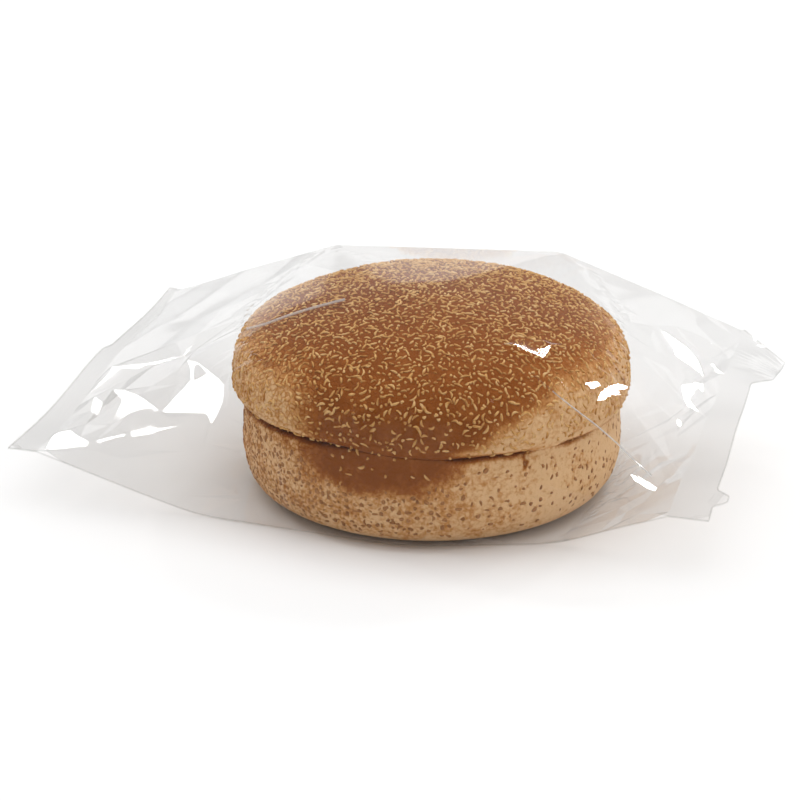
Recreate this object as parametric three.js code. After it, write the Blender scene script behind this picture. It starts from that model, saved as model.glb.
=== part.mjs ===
// A hamburger bun, cut into crown and heel, sealed in a clear pillow bag that is drawn tight over it.
//
// The bag is one closed solid with the outer form of the sealed pack: film lying on the bun's dome, running straight
// from there to a flat heat seal at each end, with the folds and dents that the film keeps. The bun fills its middle.
//
// Millimetres. +X runs along the bag from one end seal to the other, +Y to its back and +Z up. The origin is on the
// table, under the middle of the bun.
import * as THREE from "three";
import { ConvexHull } from "three/addons/math/ConvexHull.js";

// The bun: a solid of revolution about Z, and the gap that the film keeps to its crust.
const BUN_HEIGHT = 51;
const CROWN_RADIUS = 50;
const CROWN_WIDEST_Z = 28;
const CROWN_FLATNESS = 3.2; // exponents of the dome's outline: how flat it is on top, how steep at the shoulder
const CROWN_STEEPNESS = 1.65;
const HEEL_RADIUS = 48;
const HEEL_WIDEST_Z = 15;
const HEEL_BASE_RADIUS = 35;
const HEEL_ROUNDNESS = 4.6;
const FILM_GAP = 0.9;

// The end seals: flat bands where the upper and lower film are welded. A band starts at x = `inner`, where its front
// and back ends are the points [y, z], and is cut off at x = `cut`, as [at the front, at the back].
const LEFT_SEAL = { inner: -89.5, cut: [-97, -93], front: [-45.5, 14], back: [57.5, 21] };
const RIGHT_SEAL = { inner: 70, cut: [80, 76], front: [-39, 15], back: [51, 29] };
const SEAL_THICKNESS = 1.0;

// Points where the slack film is held out from the bun: two on the table in front, two along the ridge behind the dome.
const HELD_OUT = [
  [-49, -40, 0],
  [41, -31, 0],
  [-34, 28, 49.5],
  [24, 37, 50.5],
];

// Waves that run along Y through each end seal and fade towards the bun.
const LEFT_WAVE = { height: 0.8, length: 66, phase: 0.4, fade: 30 };
const RIGHT_WAVE = { height: 0.5, length: 29, phase: 1.1, fade: 22 };

// The ear at the back of the right seal, which stands out past the rest of its cut edge and droops to its corner.
const EAR = { from: 24, to: 30, reach: 5, droop: 8 };

// Creases of the upper film. Each runs from one [x, y] to another, stands `height` proud (sunk, if that is negative)
// along a sharp line and falls off over `width` to either side.
const CREASES = [
  { from: [-90, -8], to: [-57, -21], height: 2.0, width: 7 },
  { from: [-90, -44], to: [-46, -44], height: 1.4, width: 6 },
  { from: [-74, -16], to: [-46, -6], height: 1.2, width: 6 },
  { from: [-90, 14], to: [-46, 6], height: -1.5, width: 9 },
  { from: [-90, 30], to: [-50, 22], height: 1.6, width: 7 },
  { from: [-88, 46], to: [-52, 34], height: -1.4, width: 7 },
  { from: [26, -24], to: [71, -40], height: 1.3, width: 5 },
  { from: [46, 28], to: [70, 19], height: 1.8, width: 6 },
  { from: [44, 10], to: [71, 8], height: -1.6, width: 8 },
  { from: [46, -4], to: [71, -6], height: 1.3, width: 6 },
  { from: [50, -20], to: [71, -22], height: -1.3, width: 7 },
  { from: [58, 34], to: [80, 27], height: -1.6, width: 5 },
];

// Smooth hollows of the upper film, as half length and half width about a middle, turned about Z by degrees.
const DENTS = [
  { middle: [-64, -33], half: [20, 9], turn: -14, depth: 3.2 },
  { middle: [-66, 3], half: [18, 9], turn: -8, depth: 1.6 },
  { middle: [60, -12], half: [11, 8], turn: 0, depth: 1.8 },
];

const STATIONS = 64; // sections along the bag
const ACROSS = 34; // strips across the upper film, and as many across the lower
const BAND_STARTS = 0.93; // where the seals' bands start, on the scale of -1 to 1 that runs along the bag

const clamp01 = (value) => Math.min(Math.max(value, 0), 1);
const smooth = (value) => clamp01(value) ** 2 * (3 - 2 * clamp01(value));
const { lerp } = THREE.MathUtils;

// Half-breadth of the bun at height z.
function bunRadius(z) {
  if (z <= HEEL_WIDEST_Z) {
    const down = (HEEL_WIDEST_Z - z) / HEEL_WIDEST_Z;
    const round = (1 - down ** HEEL_ROUNDNESS) ** (1 / HEEL_ROUNDNESS);
    return lerp(HEEL_BASE_RADIUS, HEEL_RADIUS, round);
  }
  if (z <= CROWN_WIDEST_Z) {
    return lerp(HEEL_RADIUS, CROWN_RADIUS, (z - HEEL_WIDEST_Z) / (CROWN_WIDEST_Z - HEEL_WIDEST_Z));
  }
  const up = clamp01((z - CROWN_WIDEST_Z) / (BUN_HEIGHT - CROWN_WIDEST_Z));
  return CROWN_RADIUS * (1 - up ** CROWN_FLATNESS) ** (1 / CROWN_STEEPNESS);
}

// Rings of points just off the bun's crust, the lowest of them on the table.
function crustPoints() {
  const rings = 30;
  const perRing = 72;
  const points = [];
  for (let i = 0; i <= rings; i++) {
    const z = BUN_HEIGHT * Math.sin((i / rings) * (Math.PI / 2));
    const radius = bunRadius(z) + (i > 0 ? FILM_GAP : 0);
    for (let j = 0; j < perRing; j++) {
      const turn = (2 * Math.PI * j) / perRing;
      const height = z * (1 + FILM_GAP / BUN_HEIGHT);
      points.push(new THREE.Vector3(radius * Math.cos(turn), radius * Math.sin(turn), height));
    }
  }
  return points;
}

// The taut film: the tightest skin round the bun, the seals and the points where the film is held out.
function tautSkin() {
  const corners = [LEFT_SEAL, RIGHT_SEAL].flatMap((seal) =>
    [seal.front, seal.back].map(([y, z]) => new THREE.Vector3(seal.inner, y, z)));
  const held = HELD_OUT.map((point) => new THREE.Vector3(...point));
  return new ConvexHull().setFromPoints([...crustPoints(), ...corners, ...held]);
}

// The frontmost and rearmost points of the skin in the plane x.
function sideEdges(skin, x) {
  let front = null;
  let back = null;
  for (const face of skin.faces) {
    for (let k = 0; k < 3; k++) {
      const a = face.getEdge(k).tail().point;
      const b = face.getEdge(k).head().point;
      if ((a.x - x) * (b.x - x) > 0 || a.x === b.x) continue;
      const point = a.clone().lerp(b, (x - a.x) / (b.x - a.x));
      if (!front || point.y < front.y) front = point;
      if (!back || point.y > back.y) back = point;
    }
  }
  return [front, back];
}

// Heights of the skin's underside and top above (x, y).
function skinHeights(skin, x, y) {
  let bottom = 0;
  let top = Infinity;
  for (const { normal, constant } of skin.faces) {
    if (Math.abs(normal.z) < 1e-7) continue;
    const height = (constant - normal.x * x - normal.y * y) / normal.z;
    if (normal.z > 0) top = Math.min(top, height);
    else bottom = Math.max(bottom, height);
  }
  return [bottom, top];
}

// How far a crease moves the upper film at (x, y).
function creaseHeight({ from, to, height, width }, x, y) {
  const start = new THREE.Vector2(...from);
  const along = new THREE.Vector2(...to).sub(start);
  const offset = new THREE.Vector2(x, y).sub(start);
  const share = offset.dot(along) / along.lengthSq();
  const aside = Math.abs(offset.cross(along)) / along.length();
  return height * clamp01(1 - aside / width) * smooth((share + 0.15) / 0.3) * smooth((1.15 - share) / 0.3);
}

// How deep a dent is at (x, y).
function dentDepth({ middle, half, turn, depth }, x, y) {
  const offset = new THREE.Vector2(x - middle[0], y - middle[1]);
  offset.rotateAround(new THREE.Vector2(), THREE.MathUtils.degToRad(-turn));
  const out = Math.hypot(offset.x / half[0], offset.y / half[1]);
  return depth * smooth(1 - out);
}

// Height of an end seal's wave at (x, y): both films move together.
function waveHeight(seal, { height, length, phase, fade }, x, y) {
  const towardsSeal = Math.abs(x) > Math.abs(seal.inner) ? 1 : 1 - Math.abs(seal.inner - x) / fade;
  return height * Math.sin((2 * Math.PI * y) / length + phase) * smooth(towardsSeal);
}

// How far the ear reaches out past the cut edge at y, and how far its corner droops there.
function earForm(y) {
  return {
    reach: EAR.reach * smooth((y - EAR.from) / (EAR.to - EAR.from)),
    droop: EAR.droop * clamp01((y - EAR.from) / (RIGHT_SEAL.back[0] - EAR.from)),
  };
}

// One section of the bag: upper and lower film as rows of points from the front side edge to the back one. `along` is
// its place from -1 at the left cut edge, over the seals' inner edges at -BAND_STARTS and BAND_STARTS, to 1 at the
// right cut edge.
function section(skin, along) {
  const seal = along < 0 ? LEFT_SEAL : RIGHT_SEAL;
  const wave = along < 0 ? LEFT_WAVE : RIGHT_WAVE;
  const inBand = clamp01((Math.abs(along) - BAND_STARTS) / (1 - BAND_STARTS));
  const x = lerp(LEFT_SEAL.inner, RIGHT_SEAL.inner, clamp01((along / BAND_STARTS + 1) / 2));
  const [front, back] = sideEdges(skin, x);
  const flatness = smooth((x / seal.inner - 0.45) / 0.55);
  const upper = [];
  const lower = [];
  for (let j = 0; j <= ACROSS; j++) {
    const even = j / ACROSS;
    const share = lerp((1 - Math.cos(Math.PI * even)) / 2, even, 0.7 * flatness);
    const y = lerp(front.y, back.y, share);
    const middle = lerp(front.z, back.z, share);
    const onEdge = j === 0 || j === ACROSS;
    let [bottom, top] = onEdge ? [middle, middle] : skinHeights(skin, x, y);
    const room = smooth((top - bottom) / 9);
    top += room * CREASES.reduce((sum, crease) => sum + creaseHeight(crease, x, y), 0);
    top -= room * DENTS.reduce((sum, dent) => sum + dentDepth(dent, x, y), 0);
    if (!onEdge) {
      top = Math.max(top, middle + SEAL_THICKNESS / 2);
      bottom = Math.min(bottom, middle - SEAL_THICKNESS / 2);
    }
    const cut = lerp(...seal.cut, share);
    const ear = along > 0 ? earForm(y) : { reach: 0, droop: 0 };
    const outwards = x + (cut - seal.inner + ear.reach) * inBand;
    const lift = waveHeight(seal, wave, x, y) - ear.droop * inBand;
    upper.push(new THREE.Vector3(outwards, y, top + lift * smooth(top / 6)));
    lower.push(new THREE.Vector3(outwards, y, bottom + lift * smooth(bottom / 6)));
  }
  return { upper, lower };
}

// Places of the sections: even steps between the seals' inner edges, three more across each band.
function stations() {
  const places = [];
  for (let i = 0; i <= STATIONS; i++) places.push(BAND_STARTS * ((2 * i) / STATIONS - 1));
  const bands = [1, 2, 3].map((step) => lerp(BAND_STARTS, 1, step / 3));
  return [...bands.map((place) => -place).reverse(), ...places, ...bands];
}

// The closed skin of the pack: the films share their side edges, and the two cut edges are closed by strips.
function packGeometry() {
  const skin = tautSkin();
  const sections = stations().map((along) => section(skin, along));
  const ring = 2 * ACROSS;
  const vertices = sections.flatMap(({ upper, lower }) => [...upper, ...lower.slice(1, -1).reverse()]);
  const triangles = [];
  for (let i = 0; i + 1 < sections.length; i++) {
    for (let j = 0; j < ring; j++) {
      const a = i * ring + j;
      const b = i * ring + ((j + 1) % ring);
      triangles.push(a, a + ring, b, b, a + ring, b + ring);
    }
  }
  for (const [start, outwards] of [[0, -1], [(sections.length - 1) * ring, 1]]) {
    for (let j = 0; j < ACROSS; j++) {
      const up = start + j;
      const down = start + ((ring - j) % ring);
      const faces = [];
      if (j > 0) faces.push([up, down, up + 1]);
      if (j + 1 < ACROSS) faces.push([up + 1, down, start + ring - j - 1]);
      for (const [a, b, c] of faces) triangles.push(...(outwards > 0 ? [a, b, c] : [a, c, b]));
    }
  }
  const geometry = new THREE.BufferGeometry();
  geometry.setAttribute("position", new THREE.Float32BufferAttribute(vertices.flatMap((v) => v.toArray()), 3));
  geometry.setIndex(triangles);
  geometry.computeVertexNormals();
  return geometry;
}

const film = new THREE.MeshStandardMaterial({ color: 0xe8e6e4, roughness: 0.15, metalness: 0 });
const bag = new THREE.Mesh(packGeometry(), film);
bag.name = "bag";

const pack = new THREE.Group();
pack.add(bag);

export default pack;
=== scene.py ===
"""A hamburger bun in a clear pillow bag: film, crown, heel, flakes and specks on the crust, and the floor.

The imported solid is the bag's outer form. Clear film and the bun inside it take that solid's place. Shapes are
worked out in millimetres and turned into metres as each mesh is made. Angles round the bun are degrees to the
right of straight in front, as the photographer sees it.
"""
import math

import bmesh
import bpy
import numpy as np
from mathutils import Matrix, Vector, geometry, noise


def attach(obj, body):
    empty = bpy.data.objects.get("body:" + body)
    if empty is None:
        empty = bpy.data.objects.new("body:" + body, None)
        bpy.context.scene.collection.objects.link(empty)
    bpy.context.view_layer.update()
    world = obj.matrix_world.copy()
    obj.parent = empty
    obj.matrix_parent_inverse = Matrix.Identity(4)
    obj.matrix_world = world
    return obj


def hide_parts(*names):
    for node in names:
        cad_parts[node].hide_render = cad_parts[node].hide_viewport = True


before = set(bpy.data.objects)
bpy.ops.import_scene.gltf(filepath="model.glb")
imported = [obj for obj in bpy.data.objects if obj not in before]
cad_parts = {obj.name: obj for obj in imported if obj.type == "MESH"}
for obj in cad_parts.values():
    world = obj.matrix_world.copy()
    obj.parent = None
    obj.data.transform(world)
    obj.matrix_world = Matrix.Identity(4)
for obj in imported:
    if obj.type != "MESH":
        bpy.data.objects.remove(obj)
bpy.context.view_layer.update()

MM = 0.001

# The bun, as a solid of revolution: heights above the table, and the exponents of its outlines.
BUN_HEIGHT = 51.0
CROWN_RADIUS = 50.0
CROWN_WIDEST_Z = 28.0
CROWN_FLATNESS = 3.2
CROWN_STEEPNESS = 1.65
CUT_RADIUS = 47.7  # at the waist, where the bun is cut in two
CUT_Z = 22.8
CUT_EDGE = 1.3  # how far the edges of the cut round in where crown and heel stand apart
# The cut isn't level: angle round the bun, and height.
CUT_HEIGHTS = [(-110, 21.6), (-88, 21.6), (-66, 24.2), (-45, 25.5), (-26, 26.0), (5, 24.9), (18, 25.0),
               (32, 24.5), (54, 23.7), (90, 22.2), (120, 22.2), (180, 23.0)]
# How far crown and heel stand apart: angle round the bun, and gap.
SEAM_GAPS = [(-110, 0.4), (-78, 0.5), (-48, 0.5), (-30, 0.4), (-20, 0.05), (2, 0.05), (8, 0.4), (27, 0.4),
             (33, 0.05), (38, 0.05), (43, 0.4), (52, 0.4), (58, 0.1), (90, 0.3), (115, 0.5), (180, 0.5)]
# Round this angle crown and heel run into each other along one outline, given by heights and radii.
STEPLESS = {"angle": -8, "spread": 24, "z": (15, 23, 34), "r": (48.0, 48.2, 49.6)}
# Relief of the crust: lumps by height, size, octaves and seed, and furrows by depth, size and seed.
CROWN_RELIEF = {"lumps": [(0.8, 38, 2, 1), (0.24, 5, 3, 2)], "furrows": (0.28, 2.4, 1)}
HEEL_RELIEF = {"lumps": [(0.7, 30, 2, 3), (0.22, 4, 3, 4)], "furrows": (0.3, 2.2, 2)}
PRESSED = 0.08  # humps of the crust higher than this are pressed flat
# The crack's shade darkens the crust in the crack: painted shade.
CRACK = {"angle": 28.5, "length": 3.4, "depth": 0.9, "shade": 0.9}  # a short one that runs down from the cut
# How much darker than the crown's sides the heel is drawn: angle round the bun, and shade. Partly browner
# crust; the darker front middle is also painted shade and the lighter right side is painted light.
HEEL_TONE_AND_PAINTED_LIGHT = [(-180, 0.05), (-70, 0.02), (-45, 0.06), (0, 0.1), (20, 0.04), (50, -0.16), (100, -0.16)]
HEEL_RADIUS = 48.0
HEEL_WIDEST_Z = 15.0
HEEL_BASE_RADIUS = 36.0
HEEL_ROUNDNESS = 2.9
HEEL_BASE_Z = 0.35

# The bag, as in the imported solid.
FILM_GAP = 0.9
FILM_BASE_RADIUS = 35.0  # of the film under the heel, and how round it turns up there
FILM_ROUNDNESS = 4.8
LEFT_SEAL = {"inner": -89.5, "cut": (-97.0, -93.0), "front": (-45.5, 14.0), "back": (57.5, 21.0)}
RIGHT_SEAL = {"inner": 70.0, "cut": (80.0, 76.0), "front": (-39.0, 15.0), "back": (51.0, 29.0)}
SEAL_THICKNESS = 0.16
HELD_OUT = [(-49, -40, 0), (41, -31, 0), (-34, 28, 49.5), (24, 37, 50.5)]  # the film is pulled out to here
# The seals' waves, the ear at the back of the right seal, and the notch in the left one's cut.
LEFT_WAVE = {"height": 0.8, "length": 66, "phase": 0.4, "fade": 30}
RIGHT_WAVE = {"height": 0.5, "length": 29, "phase": 1.1, "fade": 22}
EAR = {"from": 24, "to": 30, "reach": 5, "droop": 8}
NOTCH = {"from": 14, "to": 18, "depth": 1.5}
# A scrap of film that stands out from the right seal's cut edge. The solid does without it.
TAIL = {"middle": -30, "half": 2.6, "reach": 3.2}
EDGE_BEAD = 0.22  # radius of the bead along the film's cut edges and its front fold
FOLD_ANGLE = 7.0  # degrees: a bend sharper than this is a crease
# Points at random in the loose film: how far apart, and how high or deep. Beside the right seal it is more
# crumpled.
LOOSE = {"from": -100, "spacing": 9.0, "height": 0.55}
CRUMPLED = {"from": 54, "spacing": 4.2, "height": 0.75}

# How near the film's lines, such as its creases, other points of it may come.
CLEARANCE = {"outline": 2, "outline_on_bun": 0.55, "outline_of_fold": 0.8, "fold": 1.5, "creases": 1.6,
             "hollows": 3.0}

# Grains: the least distance between two, and the greatest number.
CROWN_FLAKES = {"gap": 1.15, "most": 4100}
HEEL_FLAKES = {"gap": 2.4, "most": 14}
SPECKS = {"gap": 1.35, "most": 1000}
FLAKE_THICKNESS = 0.42
SPECK_THICKNESS = 0.1

# Small lamps that the film mirrors: angle round the bun, degrees up, width in mm, radiance.
LAMPS = {
    "top": (153, 45, 70, 60),
    "right": (136, 24, 70, 60),
    "left": (-120, 36, 110, 45),
    "side": (75, 25, 500, 3),
}
LAMP_DISTANCE = 1300.0
OVERHEAD_WIDTH = 1500.0
OVERHEAD_RADIANCE = 2.0
ROOM_RADIANCE = 0.45
WALL_RADIANCE = 1.3
WALL_TOP = 18  # degrees up, as seen from the bun
WALL_HALF_ANGLE = 60  # degrees to either side
FLOOR_HALF = 3000.0  # half its side
FLOOR_Z = -0.1

# Flat facets of the crumpled film, each tilted so that it mirrors a lamp to the photographer: the lamp, how
# high its middle stands over the taut film, and its corners in pixels of the photograph.
GLINTS = [
    ("left", -0.3, [(110, 367), (150, 363), (183, 355.5), (185.5, 357.5), (158, 364.5), (137, 369),
                    (112, 370)]),
    ("left", -1.2, [(162, 412), (167, 406), (180, 401.5), (188, 392), (191, 380), (190, 367), (187.5, 360),
                    (194, 366), (193.5, 381), (196, 392), (207.5, 384), (207, 374), (199, 363), (208, 370),
                    (218, 378.5), (224, 385.5), (222.5, 402), (217, 415), (211, 423.5), (207, 413),
                    (191, 413)]),
    ("left", -0.3, [(113, 389.5), (124, 390), (138, 395), (152, 405), (158, 410), (150, 413), (130, 413),
                    (123, 400)]),
    ("left", 0, [(95, 397), (102, 402), (103, 406), (98, 416), (91, 411), (95, 405)]),
    ("left", -1.5, [(43, 450), (57, 433), (70, 430), (80, 437), (89, 442), (86, 446), (60, 449)]),
    ("left", -0.6, [(95, 441), (125, 433.5), (124, 436), (108, 440), (99, 443)]),
    ("left", 0, [(131, 433), (158, 428.5), (178, 426), (157, 431.5), (150, 434.5), (132, 436.5)]),
    ("top", 0.6, [(513, 344), (526, 345), (536.5, 349), (544, 348), (551.5, 344.5), (549, 350), (544, 358),
                  (533, 353.5), (523, 349)]),
    ("right", 0.2, [(585, 382.5), (597, 381.5), (601, 385.5), (592, 389.5), (585, 387)]),
    ("right", 0.2, [(597, 401), (600, 393), (608, 386.5), (618, 383.5), (627, 386), (627, 389), (618, 390),
                    (611, 395), (604, 400)]),
    ("right", 0, [(655, 326), (672, 337), (688, 349), (698, 361), (703, 375), (690, 365), (675, 355),
                  (664, 344)]),
    ("right", 0, [(681, 385), (693, 382.5), (703, 384), (703, 392), (691, 391)]),
    ("right", 0, [(684, 398), (688, 399), (698, 411), (695, 413), (688, 406)]),
    ("right", 0, [(677, 419), (683, 424), (681, 428), (677, 424)]),
    ("right", 0, [(711, 364), (713, 364), (720, 373), (716, 373)]),
    ("right", 0, [(630.5, 474), (640, 477), (651, 483.5), (657, 488), (655, 491), (646, 488), (634, 480)]),
]

# Where the film sinks or stands up between the facets: pixel, and height over the taut film.
HOLLOWS = [(178, 384, -1.6), (200.5, 380, -1.6), (130, 378, -1.0), (152, 386, -0.8), (108, 404, -1.2),
           (86, 424, -1.6), (112, 424, -1.6), (142, 422, -1.4), (172, 419, -0.8), (230, 372, 0.3),
           (229, 389, 0.6), (227, 406, 0.6), (604, 389, 0.5), (622, 397, 0.5), (612, 377, 0.4),
           (533, 342, 0.3), (606, 354, 0.4), (283, 374, 0.4)]

# Creases where the film is bent sharply, drawn as beads whose white haze is a painted highlight: pixels, some
# with a height over the taut film, and the radius of the bend.
CREASES = [
    ([(534, 376), (561, 398), (576, 410), (595, 424, 0.4), (619, 445, 1), (638, 464, 1), (652, 476, 1)], 0.2),
    ([(247, 329), (268, 323.5), (290, 315), (320, 306), (345, 299.5)], 0.34),
]

# Ridges where the film is held out: points as (x, y).
RIDGES = [[(-86, 54.5), (-34, 28)], [(-33, 28), (23, 37)], [(25, 37), (67, 49.5)]]

# The photographer's place, in the bag's frame.
CAMERA_AZIMUTH = 16.0
CAMERA_ELEVATION = 23.7
CAMERA_DISTANCE = 900.0
CAMERA_LENS = 158.3
SENSOR = 36.0
BUN_PIXEL = (431.5, 475.6)  # where the photograph shows the point under the middle of the bun
IMAGE_SIDE = 800
PIXEL = SENSOR / CAMERA_LENS / IMAGE_SIDE  # slope of the sight line from one pixel to the next

# How the film looks: tint, share of haze in it and where it is creased, the creases' haze being a painted
# highlight, roughness of its gloss, share of gloss seen straight on and at a grazing angle, and how late it
# grows between them.
FILM_TINT = (0.925, 0.922, 0.918, 1)
HAZE = {"film": 0.006, "crease_painted_highlight": 0.3}
GLOSS = {"roughness": 0.07, "least": 0.014, "most": 0.85, "lateness": 4.5}

# Display colours. Those of the crust run from unbaked to deeply browned.
CRUST_COLOURS = [(0.0, (228, 186, 138)), (0.3, (200, 142, 82)), (0.62, (158, 92, 34)), (1.0, (134, 70, 10))]
FLAKE_COLOURS = [(0.32, (180, 122, 62)), (0.5, (218, 168, 102)), (0.72, (240, 202, 144))]
SPECK_COLOURS = [(0.3, (146, 92, 44)), (0.7, (184, 128, 76))]
CRUMB_COLOURS = [(0.0, (196, 164, 118)), (0.4, (236, 216, 178))]

AROUND = 540  # vertices in each ring of the bun
made = {}  # the materials, by name


# ---- helpers

def srgb(red, green, blue):
    """A linear colour from the 0 to 255 values of a display."""
    def linear(value):
        value /= 255
        return value / 12.92 if value <= 0.04045 else ((value + 0.055) / 1.055) ** 2.4
    return (linear(red), linear(green), linear(blue), 1.0)


def lerp(a, b, share):
    """The value at this share of the way from a to b."""
    return a + (b - a) * share


def smooth(value):
    """0 below 0 and 1 above 1, with a smooth rise between."""
    value = np.clip(value, 0.0, 1.0)
    return value * value * (3 - 2 * value)


def add_object(name, data):
    """A new object in the scene."""
    holder = bpy.data.objects.new(name, data)
    bpy.context.scene.collection.objects.link(holder)
    return holder


def mesh_object(name, vertices, faces, smooth_shading=True):
    """A new object from vertices in millimetres and faces."""
    mesh = bpy.data.meshes.new(name)
    faces = [[int(index) for index in face] for face in faces]
    mesh.from_pydata((np.asarray(vertices, float) * MM).tolist(), [], faces)
    mesh.validate()
    if smooth_shading:
        mesh.polygons.foreach_set("use_smooth", [True] * len(mesh.polygons))
    return add_object(name, mesh)


def point_attribute(piece, name, values):
    """Stores a value for each vertex, for the material to read."""
    attribute = piece.data.attributes.new(name, "FLOAT", "POINT")
    attribute.data.foreach_set("value", np.asarray(values, np.float32))


def closed_tube(rows, columns):
    """Quads between successive rings of `columns` vertices, and a face over each end."""
    row, column = np.meshgrid(np.arange(rows - 1), np.arange(columns), indexing="ij")
    after = (column + 1) % columns
    quads = np.stack([row * columns + column, row * columns + after,
                      (row + 1) * columns + after, (row + 1) * columns + column], -1)
    last = (rows - 1) * columns
    ends = [list(range(columns))[::-1], list(range(last, last + columns))]
    return quads.reshape(-1, 4).tolist() + ends


def layered_noise(points, size, octaves, seed):
    """Smooth noise about 0 at each point, whose largest lumps are `size` across."""
    shift = Vector((seed * 17.3, seed * 5.1, seed * 9.7))
    return np.array([noise.fractal(Vector(p) / size + shift, 1.0, 2.1, octaves) for p in points])


# ---- the bun

def crown_height(radius):
    """Height of the dome above the table at this distance from the bun's axis."""
    out = np.clip(np.asarray(radius, float) / CROWN_RADIUS, 0, 1)
    share = (1 - out ** CROWN_STEEPNESS) ** (1 / CROWN_FLATNESS)
    return CROWN_WIDEST_Z + (BUN_HEIGHT - CROWN_WIDEST_Z) * share


def from_front(angle):
    """The angle round the bun in degrees, from an angle in radians from +X."""
    return (np.degrees(angle) - (CAMERA_AZIMUTH - 90) + 180) % 360 - 180


def angle_of(points):
    """Angles of points in radians from +X, seen from above."""
    return np.arctan2(points[:, 1], points[:, 0])


def around_bun(table, angle):
    """A value from a table of (angle round the bun, value), at an angle in radians from +X."""
    degrees, values = zip(*table)
    return np.interp(from_front(angle), degrees, values, period=360)


def crown_profile(count):
    """Radius and height of the crown's crust, from the top to the cut edge."""
    dome = int(count * 0.8)
    turn = np.linspace(0, math.pi / 2, dome)
    z = CROWN_WIDEST_Z + (BUN_HEIGHT - CROWN_WIDEST_Z) * np.cos(turn)
    up = (z - CROWN_WIDEST_Z) / (BUN_HEIGHT - CROWN_WIDEST_Z)
    r = CROWN_RADIUS * (1 - up ** CROWN_FLATNESS) ** (1 / CROWN_STEEPNESS)
    down = np.linspace(0, 1, count - dome + 1)[1:]
    r_low = lerp(CROWN_RADIUS, CUT_RADIUS, down ** 2)
    z_low = lerp(CROWN_WIDEST_Z, CUT_Z, down)
    return np.concatenate([r, r_low]), np.concatenate([z, z_low])


def even_profile(r, z, count):
    """The same outline with `count` points evenly spaced along it."""
    length = np.concatenate([[0], np.cumsum(np.hypot(np.diff(r), np.diff(z)))])
    places = np.linspace(0, length[-1], count)
    return np.interp(places, length, r), np.interp(places, length, z)


def heel_profile(count, base_radius, roundness):
    """Radius and height of the heel's outline, from the cut edge to the edge of its base."""
    down = np.linspace(1, 0, count)
    r = lerp(HEEL_RADIUS, CUT_RADIUS, down ** 2)
    z = lerp(HEEL_WIDEST_Z, CUT_Z, down)
    turn = np.linspace(0, math.pi / 2, count * 2)[1:]
    low_z = HEEL_WIDEST_Z - (HEEL_WIDEST_Z - HEEL_BASE_Z) * np.sin(turn)
    share = (HEEL_WIDEST_Z - low_z) / (HEEL_WIDEST_Z - HEEL_BASE_Z)
    low_r = lerp(base_radius, HEEL_RADIUS, (1 - share ** roundness) ** (1 / roundness))
    return np.concatenate([r, low_r]), np.concatenate([z, low_z])


def revolve(r, z, around):
    """Rings of vertices, shape (len(r), around, 3), and the angle of each column."""
    angle = np.arange(around) * 2 * math.pi / around
    x = r[:, None] * np.cos(angle)
    y = r[:, None] * np.sin(angle)
    return np.stack([x, y, np.repeat(z[:, None], around, 1)], -1), angle


def outward(r, z):
    """Unit normals of an outline that runs down the outside of a solid, as (radial, vertical)."""
    dr = np.gradient(r)
    dz = np.gradient(z)
    length = np.hypot(dr, dz)
    return -dz / length, dr / length


def wrinkles(points, size, seed):
    """A net of shallow furrows between cells about `size` across: 0 on the cells to 1 in the furrows."""
    shift = Vector((seed * 3.7, seed * 1.9, seed * 8.3))
    depth = []
    for point in points:
        near = noise.voronoi(Vector(point) / size + shift)[0]
        depth.append(max(0.0, 1 - (near[1] - near[0]) * 3.5))
    return np.array(depth)


def furrowed(points):
    """How furrowed the crust is: most at the left, least at the right."""
    side = from_front(angle_of(points))
    return 0.3 + 0.7 * smooth((-side - 5) / 50) * smooth((100 - np.abs(side)) / 30 + 0.4)


def edge_rounding(z, angle):
    """How far the crust draws in near the cut edge, which is rounded only where there is a gap."""
    close = np.clip(1 - np.abs(z - CUT_Z)[:, None] / CUT_EDGE, 0, 1)
    return CUT_EDGE * 0.8 * (1 - np.sqrt(1 - close ** 2)) * smooth(around_bun(SEAM_GAPS, angle) / 0.45)


def crust_relief(points, lumps, furrows):
    """How far lumps and grain move the crust out, less its furrows."""
    relief = sum(height * layered_noise(points, *form) for height, *form in lumps)
    depth, size, seed = furrows
    return relief - depth * wrinkles(points, size, seed) * furrowed(points)


def shaped(rings, r, z, angle, relief, fade):
    """The rings with the crust moved out along its normals. The film presses humps flat."""
    relief = relief.reshape(rings.shape[:2]) * fade[:, None] - edge_rounding(z, angle)
    relief += stepless(r, z, angle)
    relief = np.minimum(relief, PRESSED + (relief - PRESSED) * 0.2)
    nr, nz = outward(r, z)
    rings[..., 0] += relief * nr[:, None] * np.cos(angle)
    rings[..., 1] += relief * nr[:, None] * np.sin(angle)
    rings[..., 2] += relief * np.maximum(nz, 0)[:, None]
    return rings


def follow_cut(rings, near, angle, side):
    """Draws the crust along with the cut, which isn't level. `side` is 1 for the crown, -1 for the heel."""
    lift = around_bun(CUT_HEIGHTS, angle) - CUT_Z + side * around_bun(SEAM_GAPS, angle) / 2
    rings[..., 2] += near[:, None] * lift


def cut_face(edge, shares, hollow):
    """Rings that run in from the cut edge to the middle of the cut face."""
    rings = []
    for share in shares:
        ring = edge.copy()
        ring[:, :2] *= share
        ring[:, 2] = lerp(edge[:, 2].mean(), edge[:, 2], share) + hollow * (1 - share)
        rings.append(ring)
    return np.stack(rings)


def stepless(r, z, angle):
    """How far the crust moves out so that crown and heel meet without a step."""
    aside = from_front(angle) - STEPLESS["angle"]
    share = np.exp(-(aside / STEPLESS["spread"]) ** 2)
    low, _, high = STEPLESS["z"]
    change = np.where((z > low) & (z < high), np.interp(z, STEPLESS["z"], STEPLESS["r"]) - r, 0)
    return change[:, None] * share


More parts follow.
